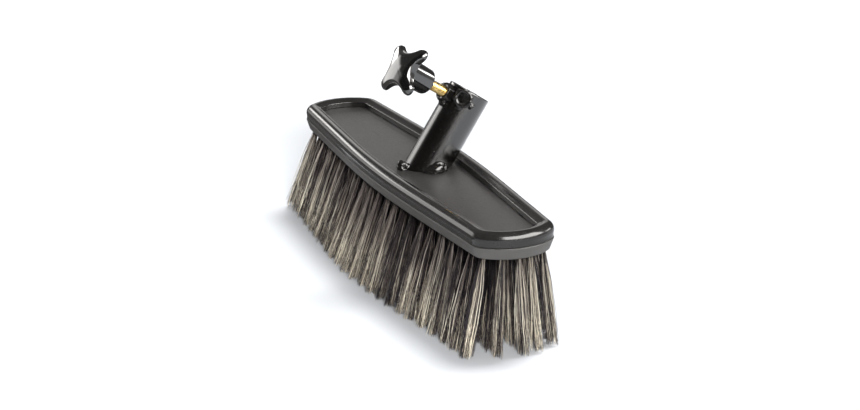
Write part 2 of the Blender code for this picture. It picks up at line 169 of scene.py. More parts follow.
def addRamp(tree, source, stops):
    ramp = addNode(tree, "ShaderNodeValToRGB", {"Fac": source})
    elements = ramp.color_ramp.elements
    while len(elements) < len(stops):
        elements.new(0.5)
    for element, (place, colour) in zip(elements, stops):
        element.position = place
        element.color = (*colour, 1)
    return ramp.outputs["Color"]


def addNoise(tree, place, scale, detail):
    noise = addNode(tree, "ShaderNodeTexNoise", {"Vector": place, "Scale": scale, "Detail": detail})
    return noise.outputs["Fac"]


def addRange(tree, value, source, target, **settings):
    # Carries a value from the source range to the target range and holds it there.
    carried = addNode(tree, "ShaderNodeMapRange", {
        "Value": value, "From Min": source[0], "From Max": source[1],
        "To Min": target[0], "To Max": target[1],
    }, **settings)
    return carried.outputs["Result"]


def addMath(tree, operation, first, second, **settings):
    node = addNode(tree, "ShaderNodeMath", {0: first, 1: second}, operation=operation, **settings)
    return node.outputs["Value"]


def mixColours(tree, share, first, second, **settings):
    # Inputs 6 and 7 and output 2 of a Mix node are its colours.
    mix = addNode(tree, "ShaderNodeMix", {"Factor": share, 6: first, 7: second}, data_type="RGBA", **settings)
    return mix.outputs[2]


def addBump(tree, shader, height, look):
    bump = addNode(tree, "ShaderNodeBump", {
        "Height": height, "Strength": look["bumpStrength"], "Distance": look["bumpDepth"],
    })
    tree.links.new(bump.outputs["Normal"], shader.inputs["Normal"])


# What all finishes but the hair's share; a look below may have its own value for any of these.
commonLook = {
    "driftRange": (0.35, 0.65), "driftDetail": 3.0, "grainRange": (0.3, 0.7), "grainDetail": 4.0,
    "scuffStretch": (1.0, 14.0, 14.0), "scuffDetail": 5.0, "scuffFrom": 0.66, "scuffFade": 0.08,
    "scuffColour": (0.05, 0.048, 0.045), "bumpStrength": 0.2, "bumpDepth": 0.00005,
    "metallic": 0.0, "specular": 0.5, "coat": 0.0, "coatRoughness": 0.1,
}


def surfaceFinish(name, ownLook):
    # Colour drifts between two tones by a broad noise; a fine noise gives the grain in bump and gloss;
    # a long thin noise past a threshold makes faint scuffs, of another colour and duller than the rest.
    look = {**commonLook, **ownLook}
    material, tree, shader = newFinish(name)
    place = addNode(tree, "ShaderNodeTexCoord").outputs["Object"]
    broad = addNoise(tree, place, look["driftScale"], look["driftDetail"])
    grain = addNoise(tree, place, look["grainScale"], look["grainDetail"])
    stretched = addNode(tree, "ShaderNodeMapping", {
        "Vector": place, "Rotation": look["scuffTurn"], "Scale": look["scuffStretch"],
    })
    scuffNoise = addNoise(tree, stretched.outputs["Vector"], look["scuffScale"], look["scuffDetail"])
    scuffRange = (look["scuffFrom"], look["scuffFrom"] + look["scuffFade"])
    scuff = addRange(tree, scuffNoise, scuffRange, (0.0, look["scuffAmount"]))
    low, high = look["driftRange"]
    drift = addRamp(tree, broad, [(low, look["colour"]), (high, look["otherColour"])])
    tree.links.new(mixColours(tree, scuff, drift, (*look["scuffColour"], 1)), shader.inputs["Base Color"])
    roughness, spread = look["roughness"], look["roughnessSpread"]
    gloss = addRange(tree, grain, look["grainRange"], (roughness - spread, roughness + spread))
    tree.links.new(addMath(tree, "ADD", gloss, scuff, use_clamp=True), shader.inputs["Roughness"])
    addBump(tree, shader, grain, look)
    shader.inputs["Metallic"].default_value = look["metallic"]
    shader.inputs["Specular IOR Level"].default_value = look["specular"]
    shader.inputs["Coat Weight"].default_value = look["coat"]
    shader.inputs["Coat Roughness"].default_value = look["coatRoughness"]
    return material


rubberLook = {
    "colour": (0.010, 0.0095, 0.009), "otherColour": (0.014, 0.013, 0.0125), "driftScale": 60.0,
    "grainScale": 900.0, "roughness": 0.16, "roughnessSpread": 0.03, "specular": 0.45,
    "scuffTurn": (0.2, 0.3, 0.5), "scuffScale": 55.0, "scuffAmount": 0.10,
}
mouldedLook = {
    "colour": (0.044, 0.0425, 0.040), "otherColour": (0.053, 0.051, 0.048), "driftScale": 40.0,
    "grainScale": 1500.0, "roughness": 0.42, "roughnessSpread": 0.06,
    "bumpStrength": 0.5, "bumpDepth": 0.00008,
    "scuffTurn": (0.1, 0.2, 0.0), "scuffScale": 60.0, "scuffAmount": 0.12, "scuffFrom": 0.64,
    "scuffColour": (0.06, 0.058, 0.055),
}
platePaintLook = {
    "colour": (0.022, 0.021, 0.020), "otherColour": (0.026, 0.025, 0.024), "driftScale": 25.0,
    "grainScale": 1100.0, "roughness": 0.42, "roughnessSpread": 0.04, "bumpStrength": 0.35,
    "scuffTurn": (0.0, 0.0, 0.35), "scuffScale": 45.0, "scuffAmount": 0.08,
    "scuffColour": (0.05, 0.048, 0.046),
}
tubePaintLook = {
    "colour": (0.0022, 0.0020, 0.0018), "otherColour": (0.0034, 0.0030, 0.0027), "driftScale": 50.0,
    "grainScale": 700.0, "roughness": 0.18, "roughnessSpread": 0.03, "bumpStrength": 0.05,
    "scuffTurn": (0.5, 0.2, 0.0), "scuffScale": 60.0, "scuffAmount": 0.12, "scuffFrom": 0.65,
    "specular": 0.9, "coat": 0.6, "coatRoughness": 0.16,
}
weldPaintLook = {
    "colour": (0.0050, 0.0047, 0.0044), "otherColour": (0.0080, 0.0075, 0.0070), "driftScale": 300.0,
    "grainScale": 900.0, "roughness": 0.16, "roughnessSpread": 0.06,
    "bumpStrength": 0.6, "bumpDepth": 0.00015,
    "scuffTurn": (0.0, 0.0, 0.0), "scuffScale": 150.0, "scuffAmount": 0.1,
}
knobLook = {
    "colour": (0.0030, 0.0029, 0.0028), "otherColour": (0.0045, 0.0044, 0.0042), "driftScale": 60.0,
    "grainScale": 600.0, "roughness": 0.08, "roughnessSpread": 0.02,
    "bumpStrength": 0.12, "bumpDepth": 0.00004,
    "scuffTurn": (0.3, 0.6, 0.1), "scuffScale": 90.0, "scuffAmount": 0.08, "scuffFrom": 0.68,
    "scuffColour": (0.03, 0.03, 0.03), "specular": 0.9, "coat": 1.0, "coatRoughness": 0.03,
}
brassLook = {
    "colour": (0.86, 0.62, 0.22), "otherColour": (0.90, 0.68, 0.30), "driftScale": 120.0, "metallic": 1.0,
    "grainScale": 1600.0, "roughness": 0.24, "roughnessSpread": 0.08, "bumpDepth": 0.00003,
    "scuffTurn": (0.4, 0.0, 0.8), "scuffScale": 200.0, "scuffAmount": 0.15, "scuffFrom": 0.62,
    "scuffColour": (0.60, 0.40, 0.14),
}
steelLook = {
    "colour": (0.50, 0.50, 0.51), "otherColour": (0.58, 0.58, 0.58), "driftScale": 200.0, "metallic": 1.0,
    "grainScale": 1800.0, "roughness": 0.32, "roughnessSpread": 0.08, "bumpDepth": 0.00003,
    "scuffTurn": (0.0, 0.5, 0.0), "scuffScale": 200.0, "scuffAmount": 0.15, "scuffFrom": 0.62,
    "scuffColour": (0.35, 0.34, 0.33),
}
rubber = surfaceFinish("bumperRubber", rubberLook)
moulded = surfaceFinish("blockPlastic", mouldedLook)
platePaint = surfaceFinish("platePaint", platePaintLook)
tubePaint = surfaceFinish("tubePaint", tubePaintLook)
weldPaint = surfaceFinish("weldPaint", weldPaintLook)
knobPlastic = surfaceFinish("knobPlastic", knobLook)
brass = surfaceFinish("screwBrass", brassLook)
steel = surfaceFinish("plateScrewSteel", steelLook)

hairLook = {
    "tones": [
        (0.0, (0.006, 0.004, 0.006)), (0.30, (0.030, 0.024, 0.029)), (0.58, (0.150, 0.126, 0.112)),
        (0.82, (0.48, 0.42, 0.33)), (1.0, (0.85, 0.79, 0.66)),
    ],
    # From root to tip: painted shade darkens the roots, and the hairs' own paler tips lighten the ends.
    "rootShadeToPaleTip": [
        (0.0, (0.12, 0.11, 0.125)), (0.38, (0.34, 0.325, 0.34)), (0.75, (1.0, 1.0, 0.98)),
        (1.0, (1.6, 1.57, 1.5)),
    ],
    "fleckStretch": (90.0, 7.0, 1.0), "fleckDetail": 2.0, "fleckRange": (0.3, 0.7),
    "fleckShade": (0.75, 1.25), "roughness": (0.42, 0.62),
    "bumpStrength": 0.3, "bumpDepth": 0.00003, "specular": 0.35,
}


def hairFinish(look):
    # The tone of a hair is the U of its map and the way along it is V: roots are darkened by painted shade,
    # and tips are paler, as the hairs' own colour.
    # A noise stretched along the hairs flecks the colour, the gloss and the bump.
    material, tree, shader = newFinish("bristleHair")
    mapped = addNode(tree, "ShaderNodeUVMap", uv_map="hairMap").outputs["UV"]
    parts = addNode(tree, "ShaderNodeSeparateXYZ", {"Vector": mapped})
    stretched = addNode(tree, "ShaderNodeMapping", {"Vector": mapped, "Scale": look["fleckStretch"]})
    flecks = addNoise(tree, stretched.outputs["Vector"], 1.0, look["fleckDetail"])
    tone = addRamp(tree, parts.outputs["X"], look["tones"])
    along = addRamp(tree, parts.outputs["Y"], look["rootShadeToPaleTip"])
    lit = mixColours(tree, 1.0, tone, along, blend_type="MULTIPLY")
    shade = addRange(tree, flecks, look["fleckRange"], look["fleckShade"])
    final = addNode(tree, "ShaderNodeVectorMath", {0: lit, "Scale": shade}, operation="SCALE")
    tree.links.new(final.outputs["Vector"], shader.inputs["Base Color"])
    tree.links.new(addRange(tree, flecks, look["fleckRange"], look["roughness"]), shader.inputs["Roughness"])
    addBump(tree, shader, flecks, look)
    shader.inputs["Specular IOR Level"].default_value = look["specular"]
    return material


hair = hairFinish(hairLook)
print("finishes made")


# Head: the plan that the block, the bumper and the bristles share

head = {
    "length": 0.270, "width": 0.0594, "flankAngle": 3.86, "flankBend": 0.70,
    "endSetback": 0.0097, "endCrown": 0.815, "cornerRadius": 0.011, "leastRadius": 0.0042,
    "blockBottom": 0.0515, "blockTop": 0.058, "plateTop": 0.0613, "gap": 0.0003,
}
flankAngle = math.radians(head["flankAngle"])
# The straight sides of a flank would meet this far from the middle line, past the bend between them.
flankMeet = head["width"] / 2 + head["flankBend"] * (1 / math.cos(flankAngle) - 1)


def headCorners():
    # Corners of the plan before rounding, counter-clockwise, as rows of x, y and radius.
    x = head["length"] / 2 - head["endSetback"]
    y = flankMeet - x * math.tan(flankAngle)
    crown = head["endSetback"] * head["endCrown"]
    tip = head["length"] / 2 + crown
    endRadius = crown / (1 / math.cos(math.atan2(tip - x, y)) - 1)
    flank, corner = head["flankBend"], head["cornerRadius"]
    return np.array([
        (0, -flankMeet, flank), (x, -y, corner), (tip, 0, endRadius), (x, y, corner),
        (0, flankMeet, flank), (-x, y, corner), (-tip, 0, endRadius), (-x, -y, corner),
    ])


def headPlan(inset, arcSteps=(8, 10, 20), straightSteps=10):
    # Each corner is moved inwards along the sum of its edges' normals and rounded by a tangent arc;
    # points between arcs are spaced evenly, so that every inset has as many.
    corners = headCorners()
    spots, radii = corners[:, :2], corners[:, 2]
    flankSteps, cornerSteps, endSteps = arcSteps
    steps = [flankSteps, cornerSteps, endSteps, cornerSteps] * 2
    edges = np.roll(spots, -1, axis=0) - spots
    edges /= np.linalg.norm(edges, axis=1)[:, None]
    inward = np.stack([-edges[:, 1], edges[:, 0]], axis=1)
    before = np.roll(inward, 1, axis=0)
    arcs = []
    for spot, radius, a, b, count in zip(spots, radii, before, inward, steps):
        moved = spot + (a + b) / (1 + a @ b) * inset
        bend = math.acos(min(1.0, a @ b))
        size = max(radius - inset, head["leastRadius"])
        centre = moved + (a + b) / np.linalg.norm(a + b) * size / math.cos(bend / 2)
        angles = math.atan2(-a[1], -a[0]) + bend * np.arange(count + 1) / count
        arcs.append(centre + circle(size, angles))
    points = []
    share = (np.arange(1, straightSteps) / straightSteps)[:, None]
    for this, following in zip(arcs, arcs[1:] + arcs[:1]):
        points.append(this)
        points.append(this[-1] * (1 - share) + following[0] * share)
    return np.concatenate(points)


def headRings(profile):
    # The plan at each inset of the profile, at that height.
    return np.stack([ringAt(headPlan(inset), height) for inset, height in profile])


def flankOffset(x, inset):
    # Half width of the plan at x: a circle about the middle bend, then the straight side.
    bend = head["flankBend"] - inset
    centre = flankMeet - head["flankBend"] / math.cos(flankAngle)
    middle = centre + np.sqrt(np.maximum(bend ** 2 - x ** 2, 0))
    straight = flankMeet - inset / math.cos(flankAngle) - np.abs(x) * math.tan(flankAngle)
    return np.where(np.abs(x) < bend * math.sin(flankAngle), middle, straight)


def endOffset(y, inset):
    # Reach of the plan's +X end at y, between the points of its outline there.
    plan = headPlan(inset)
    plan = plan[plan[:, 0] > head["length"] / 4]
    order = np.argsort(plan[:, 1])
    return np.interp(y, plan[order, 1], plan[order, 0])


# Block under the bumper: tapered skirt with a soft lower edge

block = {
    "draft": 0.0019, "lowerRound": 0.0007, "upperRound": 0.0004, "bottomInset": 0.0040, "topInset": 0.0020,
    "sharp": 50,
}


def makeBlock():
    # The plan carried up a profile: flat bottom, round lower edge, tapered skirt, round upper edge, flat top.
    bottom, top = head["blockBottom"], head["blockTop"]
    lower, upper = block["lowerRound"], block["upperRound"]
    profile = [(block["bottomInset"], bottom)]
    profile += [(block["draft"] + lower + x, bottom + lower + z) for x, z in arc(lower, 270, 180, steps=6)]
    profile += [(upper + x, top - upper + z) for x, z in arc(upper, 180, 90, steps=4)]
    profile.append((block["topInset"], top))
    rings = headRings(profile)
    makePiece("brushBlock", rings, cappedFaces(*rings.shape[:2]), moulded, "head",
              ["brush_block"], sharp=block["sharp"])


makeBlock()

# Bumper: a round bead outside, and a lip that lies over the plate's edge

bumper = {
    "beadRadius": 0.0043, "beadHeight": 0.0081, "outerTurn": -20.0, "innerTurn": 118.0,
    "footRound": 0.0004, "footInset": 0.0031, "plateInset": 0.0046,
    "lipInset": 0.0088, "lipHeight": 0.0030, "lipRound": 0.0006, "lipTurn": 100.0, "sharp": 55,
}


def makeBumper():
    # The plan carried round a closed profile: foot, bead, lip, its underside, and down by the plate's edge.
    bead, foot, lip = bumper["beadRadius"], bumper["footRound"], bumper["lipRound"]
    beadZ = head["blockTop"] + bumper["beadHeight"] - bead
    bottom = head["blockTop"] + head["gap"]
    under = head["plateTop"] + head["gap"]
    edge = under + bumper["lipHeight"]
    beside = bumper["plateInset"] - head["gap"]
    beadArc = arc(bead, bumper["outerTurn"], bumper["innerTurn"], steps=28)
    outside = bead - beadArc[0, 0]
    profile = [(bumper["footInset"], bottom)]
    profile += [(outside + foot + x, bottom + foot + z) for x, z in arc(foot, 270, 180, steps=4)]
    profile += [(bead - x, beadZ + z) for x, z in beadArc]
    lipArc = arc(lip, bumper["lipTurn"], 0, steps=6)
    profile += [(bumper["lipInset"] - lip + x, edge - lip + z) for x, z in lipArc]
    profile += [(bumper["lipInset"], under), (beside, under), (beside, bottom)]
    rings = headRings(profile)
    faces = facesOfGrid(*rings.shape[:2], wrapRows=True, wrapCols=True)
    makePiece("bumperRim", rings, [faces], rubber, "head", ["bumper_rim"], sharp=bumper["sharp"])


makeBumper()
print("head made")


# Socket tube with its nuts, on a leaning axis

tube = {
    "radius": 0.012, "wall": 0.0015, "lean": 32.5, "top": (0.0, 0.029856, 0.101867), "edgeRound": 0.0005,
    "screwTurn": -10.5, "screwDrop": 0.0072, "spareTurn": -57.11, "spareDrop": 0.0052,
    "holeRadius": 0.0033, "holeReach": 1.3, "turnSteps": 128, "lengthSteps": 24, "holeSteps": 32, "sharp": 50,
}
leanAngle = math.radians(tube["lean"])
tubeAxis = np.array([0, math.sin(leanAngle), math.cos(leanAngle)])
tubeFront = np.array([0, -math.cos(leanAngle), math.sin(leanAngle)])
tubeSide = np.array([-1.0, 0, 0])
tubeTop = np.array(tube["top"])


def frameAlong(direction, origin, up):
    # Rows are the X, Y and Z directions of a frame whose Z is the direction and whose X is near up.
    z = direction / np.linalg.norm(direction)
    x = up - z * (up @ z)
    x /= np.linalg.norm(x)
    return np.stack([x, np.cross(z, x), z]), np.asarray(origin, float)


def placed(points, place):
    # Points of a piece's own frame, carried to its place on the tube.
    turn, origin = place
    return points @ turn + origin


def screwPlace(turn, drop):
    # A frame on the tube's axis, the drop below its mouth, that looks out at the turn from the tube's front.
    a = math.radians(turn)
    return frameAlong(tubeFront * math.cos(a) + tubeSide * math.sin(a), tubeTop - tubeAxis * drop, -tubeAxis)


screwSpot = screwPlace(tube["screwTurn"], tube["screwDrop"])
spareSpot = screwPlace(tube["spareTurn"], tube["spareDrop"])


def drill(piece, spot):
    # Takes a round rod away, from the tube's axis out through one side of its wall.
    outline = circle(tube["holeRadius"], fullTurn(tube["holeSteps"]))
    rings = np.stack([ringAt(outline, z) for z in (0.0, tube["radius"] * tube["holeReach"])])
    faces = cappedFaces(*rings.shape[:2])
    cutter = makePiece("drillShape", placed(rings.reshape(-1, 3), spot), faces, tubePaint, "head")
    step = piece.modifiers.new("hole", "BOOLEAN")
    step.operation, step.solver, step.object = "DIFFERENCE", "EXACT", cutter
    graph = bpy.context.evaluated_depsgraph_get()
    cutMesh = bpy.data.meshes.new_from_object(piece.evaluated_get(graph))
    piece.modifiers.clear()
    piece.data = cutMesh
    bpy.data.objects.remove(cutter, do_unlink=True)


def makeTube():
    # Rings of a radius, as far down the axis as depth + (way to the plate - depth) share:
    # share 0 is at the rounded mouth, and share 1 lies in the plane of the slanted foot on the plate.
    outer, bore, soft = tube["radius"], tube["radius"] - tube["wall"], tube["edgeRound"]
    turns = fullTurn(tube["turnSteps"])
    radial = np.cos(turns)[:, None] * tubeFront + np.sin(turns)[:, None] * tubeSide
    footZ = head["plateTop"] + head["gap"]

    def ring(radius, depth, share=0.0):
        base = tubeTop + radial * radius
        toFoot = (base[:, 2] - footZ) / tubeAxis[2]
        down = depth + (toFoot - depth) * share
        return base - tubeAxis * down[:, None]

    steps = tube["lengthSteps"]
    rounding = arc(soft, 0, 90, steps=5)
    rings = [ring(outer, soft, share) for share in np.linspace(1, 0, steps)[:-1]]
    rings += [ring(outer - soft + x, soft - z) for x, z in rounding]
    rings += [ring(bore + soft - x, soft - z) for x, z in rounding[::-1]]
    rings += [ring(bore, soft, share) for share in np.linspace(0, 1, steps)[1:]]
    faces = facesOfGrid(len(rings), len(turns), wrapRows=True, wrapCols=True)
    piece = makePiece("socketTube", np.stack(rings), [faces], tubePaint, "head", ["socket_tube"])
    for spot in (screwSpot, spareSpot):
        drill(piece, spot)
    piece.data.set_sharp_from_angle(angle=math.radians(tube["sharp"]))


makeTube()

# Nuts: hexagons with chamfered corners, softened by the paint, and a threaded bore

nut = {
    "flats": 0.010, "height": 0.005, "seat": 0.0123, "softness": 0.0005, "softTurn": 75.0, "cornerPower": 26,
    "chamferFrom": 0.0045, "chamferFall": 0.55,
    "faceShares": (0.5, 0.8, 0.92, 1.0), "sideShares": (0.3, 0.7, 1.0),
    # Mouth: out from the bore and down from the face. Seat edge: in from the side and up from the seat.
    "mouth": ((0.0001, 0.0004), (0.0005, 0.00005), (0.0007, 0.0)), "seatEdge": (0.0003, 0.0002),
    "boreRadius": 0.0031, "threadDepth": 0.0002, "pitch": 0.001, "threadEnd": 0.0005,
    # The paint starts paintFrom above the seat and is thickest from paintRise outside the bore.
    "paintSwell": 0.00015, "paintWave": 0.0032, "paintRise": 0.001, "paintFrom": 0.0003,
    "screwSeed": 859, "spareSeed": 850, "turnSteps": 96, "threadSteps": 28, "sharp": 60,
}


def hexRadius(turns, flats):
    # Distance to a hexagon's side along each direction, with its corners rounded by a high-power mean.
    sides = np.radians(np.arange(6) * 60 + 30)
    reach = np.maximum(np.cos(turns[:, None] - sides[None, :]), 1e-6) / (flats / 2)
    return 1 / (reach ** nut["cornerPower"]).sum(axis=1) ** (1 / nut["cornerPower"])


def chamferDrop(reach):
    # Past its start the chamfer falls in proportion to the reach.
    return np.maximum(reach - nut["chamferFrom"], 0) * nut["chamferFall"]


def makeNut(name, spot, seed, replaced):
    # Rings run up the bore as a thread, a triangle wave of (height / pitch - turn), over the face and
    # the chamfer, and down the six sides.
    turns = fullTurn(nut["turnSteps"])
    edge = hexRadius(turns, nut["flats"])
    soft, bore, seat = nut["softness"], nut["boreRadius"], nut["seat"]
    face = seat + nut["height"]
    rings = []

    def addRing(radius, height):
        rings.append(ringAt(circle(radius, turns), height))

    for z in np.linspace(seat, face - nut["threadEnd"], nut["threadSteps"]):
        wave = np.abs(((z / nut["pitch"] - turns / (2 * np.pi)) % 1) * 2 - 1)
        addRing(bore - nut["threadDepth"] * wave, z)
    for out, down in nut["mouth"]:
        addRing(bore + out, face - down)
    lipRadius = bore + nut["mouth"][-1][0]
    for share in nut["faceShares"]:
        reach = lipRadius + (edge - soft - lipRadius) * share
        addRing(reach, face - chamferDrop(reach))
    rim = face - chamferDrop(edge - soft)
    for x, z in arc(soft, nut["softTurn"], 0, steps=4):
        addRing(edge - soft + x, rim - soft + z)
    inwards, upwards = nut["seatEdge"]
    for share in nut["sideShares"]:
        addRing(edge, (rim - soft) * (1 - share) + (seat + upwards) * share)
    addRing(edge - inwards, seat)
    local = np.concatenate(rings)
    # Thick paint swells and sinks the faces by a smooth random field, more towards the outside.
    outside = np.clip((np.linalg.norm(local[:, :2], axis=1) - bore) / nut["paintRise"], 0, 1)
    swell = nut["paintSwell"] * mixedWaves(local, seed, nut["paintWave"]) * outside
    ways = np.column_stack([local[:, :2] / nut["flats"], np.ones(len(local))])
    local = local + ways * swell[:, None] * (local[:, 2] > seat + nut["paintFrom"])[:, None]
    faces = facesOfGrid(len(rings), len(turns), wrapRows=True, wrapCols=True)
    makePiece(name, placed(local, spot), [faces], weldPaint, "head", replaced, sharp=nut["sharp"])


makeNut("screwNut", screwSpot, nut["screwSeed"], ["screw_nut"])
makeNut("spareNut", spareSpot, nut["spareSeed"], ["spare_nut"])

# Welds: ellipsoids with random lumps; those at the tube's foot are cut flat by the plate

lumps = {"rows": 33, "cols": 64, "broadWave": 1.6, "fineWave": 0.6, "fineShare": 0.45, "fineSeed": 7}
footWeld = {
    "frontTurn": 272.0, "frontLength": 0.0080, "sideTurns": (0.0, 180.0), "sideLength": 0.0125,
    "width": 0.0030, "height": 0.0042, "centreY": 0.004012, "lumpiness": 0.24, "seed": 20,
}
nutWeld = {
    "length": 0.0040, "width": 0.0020, "turns": (75.0, 0.0), "lumpiness": 0.18,
    "screwSeed": 40, "spareSeed": 50,
}


def lumpyBall(seed, lumpiness):
    # A sphere's grid, each point moved out by a random field of two wavelengths.
    rows, cols = lumps["rows"], lumps["cols"]
    v = np.linspace(0.5 / rows, 1 - 0.5 / rows, rows)[:, None] * np.pi
    u = fullTurn(cols)[None, :]
    ball = np.stack([np.sin(v) * np.cos(u), np.sin(v) * np.sin(u), np.cos(v) + 0 * u], axis=-1).reshape(-1, 3)
    broad = mixedWaves(ball, seed, lumps["broadWave"])
    fine = mixedWaves(ball, seed + lumps["fineSeed"], lumps["fineWave"])
    swell = 1 + lumpiness * broad + lumpiness * lumps["fineShare"] * fine
    return ball * swell[:, None], cappedFaces(rows, cols)


def makeFootWelds():
    # The ball's X runs round the slanted foot and its Y away from the tube; the plate cuts it flat below.
    stretch = 1 / math.cos(leanAngle)
    reach = tube["radius"] + head["gap"]
    floor = head["plateTop"] + head["gap"]
    beads = [(footWeld["frontTurn"], footWeld["frontLength"])]
    beads += [(turn, footWeld["sideLength"]) for turn in footWeld["sideTurns"]]
    for number, (turn, length) in enumerate(beads, start=1):
        ball, faces = lumpyBall(footWeld["seed"] + number, footWeld["lumpiness"])
        a = math.radians(turn) + ball[:, 0] * length / 2 / reach
        out = reach + ball[:, 1] * footWeld["width"]
        height = np.maximum(floor + ball[:, 2] * footWeld["height"], floor)
        points = np.column_stack([out * np.cos(a), footWeld["centreY"] + out * stretch * np.sin(a), height])
        makePiece(f"footWeld{number}", points, faces, weldPaint, "head", [f"foot_weld_{number}"])


def makeNutWelds(label, spot, side, seed):
    # Lumpy balls beside a nut, as far out as its corners, centred a little above the tube's round wall.
    corner = nut["flats"] / 2 / math.cos(math.pi / 6)
    sizes = np.array([nutWeld["width"], nutWeld["length"] / 2, nutWeld["width"]])
    for number, angle in enumerate(nutWeld["turns"], start=1):
        a = side * math.radians(angle)
        ball, faces = lumpyBall(seed + number, nutWeld["lumpiness"])
        rise = math.sqrt(tube["radius"] ** 2 - (corner * math.sin(a)) ** 2)
        local = ball * sizes + np.array([corner, 0, rise + nutWeld["width"] / 2])
        turn = np.array([[math.cos(a), math.sin(a), 0], [-math.sin(a), math.cos(a), 0], [0, 0, 1.0]])
        makePiece(f"{label}NutWeld{number}", placed(local @ turn, spot), faces, weldPaint, "head",
                  [f"{label}_nut_weld_{number}"])


makeFootWelds()
makeNutWelds("screw", screwSpot, -1, nutWeld["screwSeed"])
makeNutWelds("spare", spareSpot, 1, nutWeld["spareSeed"])
print("tube, nuts and welds made")


# Clamp screw: a brass stud with an M6 thread, and a blind hole in its tip for the stem of the pad

screw = {
    "radius": 0.003, "depth": 0.00055, "pitch": 0.001, "tip": 0.0126, "end": 0.0400, "chamfer": 0.0007,
    "waveStretch": 1.35, "waveShift": 0.15, "stemHole": 0.0014, "stemDepth": 0.0031,
    "turnSteps": 48, "lengthSteps": 290, "sharp": 70,
}


def makeScrew():
    # The radius falls from the crest by the depth times a clipped triangle wave of (height / pitch - turn).
    turns = fullTurn(screw["turnSteps"])
    heights = np.linspace(screw["tip"], screw["end"], screw["lengthSteps"])
    phase = (heights[:, None] / screw["pitch"] - turns[None, :] / (2 * np.pi)) % 1
    wave = np.clip(np.abs(phase * 2 - 1) * screw["waveStretch"] - screw["waveShift"], 0, 1)
    limit = screw["radius"] - screw["chamfer"] + np.minimum(heights - screw["tip"], screw["chamfer"])
    radius = np.minimum(screw["radius"] - screw["depth"] * wave, limit[:, None])
    hole = circle(screw["stemHole"], turns)
    rings = [ringAt(hole, screw["tip"] + screw["stemDepth"]), ringAt(hole, screw["tip"])]
    rings += [ringAt(circle(r, turns), z) for r, z in zip(radius, heights)]
    points, faces = placed(np.concatenate(rings), screwSpot), cappedFaces(len(rings), len(turns))
    makePiece("clampScrew", points, faces, brass, "knob", ["clamp_screw"], sharp=screw["sharp"])


makeScrew()

# Knob: a cross grip with four round lobes, a hollow underside and a hub

knob = {
    "reach": 0.0174, "tipRadius": 0.0034, "waist": 0.0091, "rimHeight": 0.0028, "crown": 0.0039, "turn": 56.5,
    "hubStart": 0.0300, "hubLength": 0.0160, "hubRadius": 0.0079, "hubEndRadius": 0.0073, "hubRound": 0.0010,
    "boreRadius": 0.0033, "boreDepth": 0.0103, "boreChamfer": 0.0003,
    "wall": 0.0018, "roof": 0.0020, "rimRound": 0.0005, "topRound": 0.0020,
    # Where the hub nearly fills the hollow: the width over which the roof comes down, and the least room;
    # the drops and the growth keep neighbouring rings apart.
    "roomWidth": 0.003, "leastRoom": 0.0003, "leastRim": 0.0004, "rimSpread": 0.1,
    "hubDrop": 0.0002, "rimDrop": 0.0001, "rimGrowth": 1.0005,
    # Shares of the way from hub to skirt, with how far the roof is rounded down there.
    "roofSteps": ((0.0, 0.0008), (0.06, 0.0002), (0.2, 0.0), (0.5, 0.0), (0.8, 0.0),
                  (0.94, 0.0002), (1.0, 0.0006)),
    "hubShares": (0.5, 1.0), "sideShares": (0.35, 0.7),
    "topShares": (0.88, 0.74, 0.6, 0.45, 0.3, 0.16, 0.05), "sharp": 60,
}


def knobOutline(inset, lobeSteps=16, flankSteps=16):
    # Lobe arcs of the tip radius at the reach, joined by hollow arcs tangent to both neighbours.
    tip, waist = knob["tipRadius"] - inset, knob["waist"] - inset
    far = knob["reach"] - knob["tipRadius"]
    root = math.sqrt(2)
    flank = (far ** 2 + waist ** 2 - root * far * waist - tip ** 2) / (root * far + 2 * tip - 2 * waist)
    centre = waist + flank
    meet = math.atan2(centre / root, centre / root - far)
    lobe = meet * np.linspace(-1, 1, lobeSteps + 1)
    sweep = math.pi / 2 - (meet - math.pi / 4)
    hollow = sweep * np.linspace(1, -1, flankSteps + 1)[1:-1]
    lobeX, lobeY = far + tip * np.cos(lobe), tip * np.sin(lobe)
    hollowX, hollowY = centre - flank * np.cos(hollow), -flank * np.sin(hollow)
    eighth = math.sqrt(0.5)
    x = np.concatenate([lobeX, (hollowX - hollowY) * eighth])
    y = np.concatenate([lobeY, (hollowX + hollowY) * eighth])
    points = []
    for quarter in range(4):
        a = math.radians(knob["turn"]) + quarter * math.pi / 2
        cos, sin = math.cos(a), math.sin(a)
        points.append(np.stack([x * cos - y * sin, x * sin + y * cos], axis=1))
    return np.concatenate(points)


def crownHeight(shape):
    # The domed top is a sphere through the rim of the lobe tips and the crown's height at the middle.
    sphere = (knob["reach"] ** 2 + knob["crown"] ** 2) / (2 * knob["crown"])
    return np.sqrt(sphere ** 2 - (shape ** 2).sum(axis=1)) - sphere + knob["crown"]


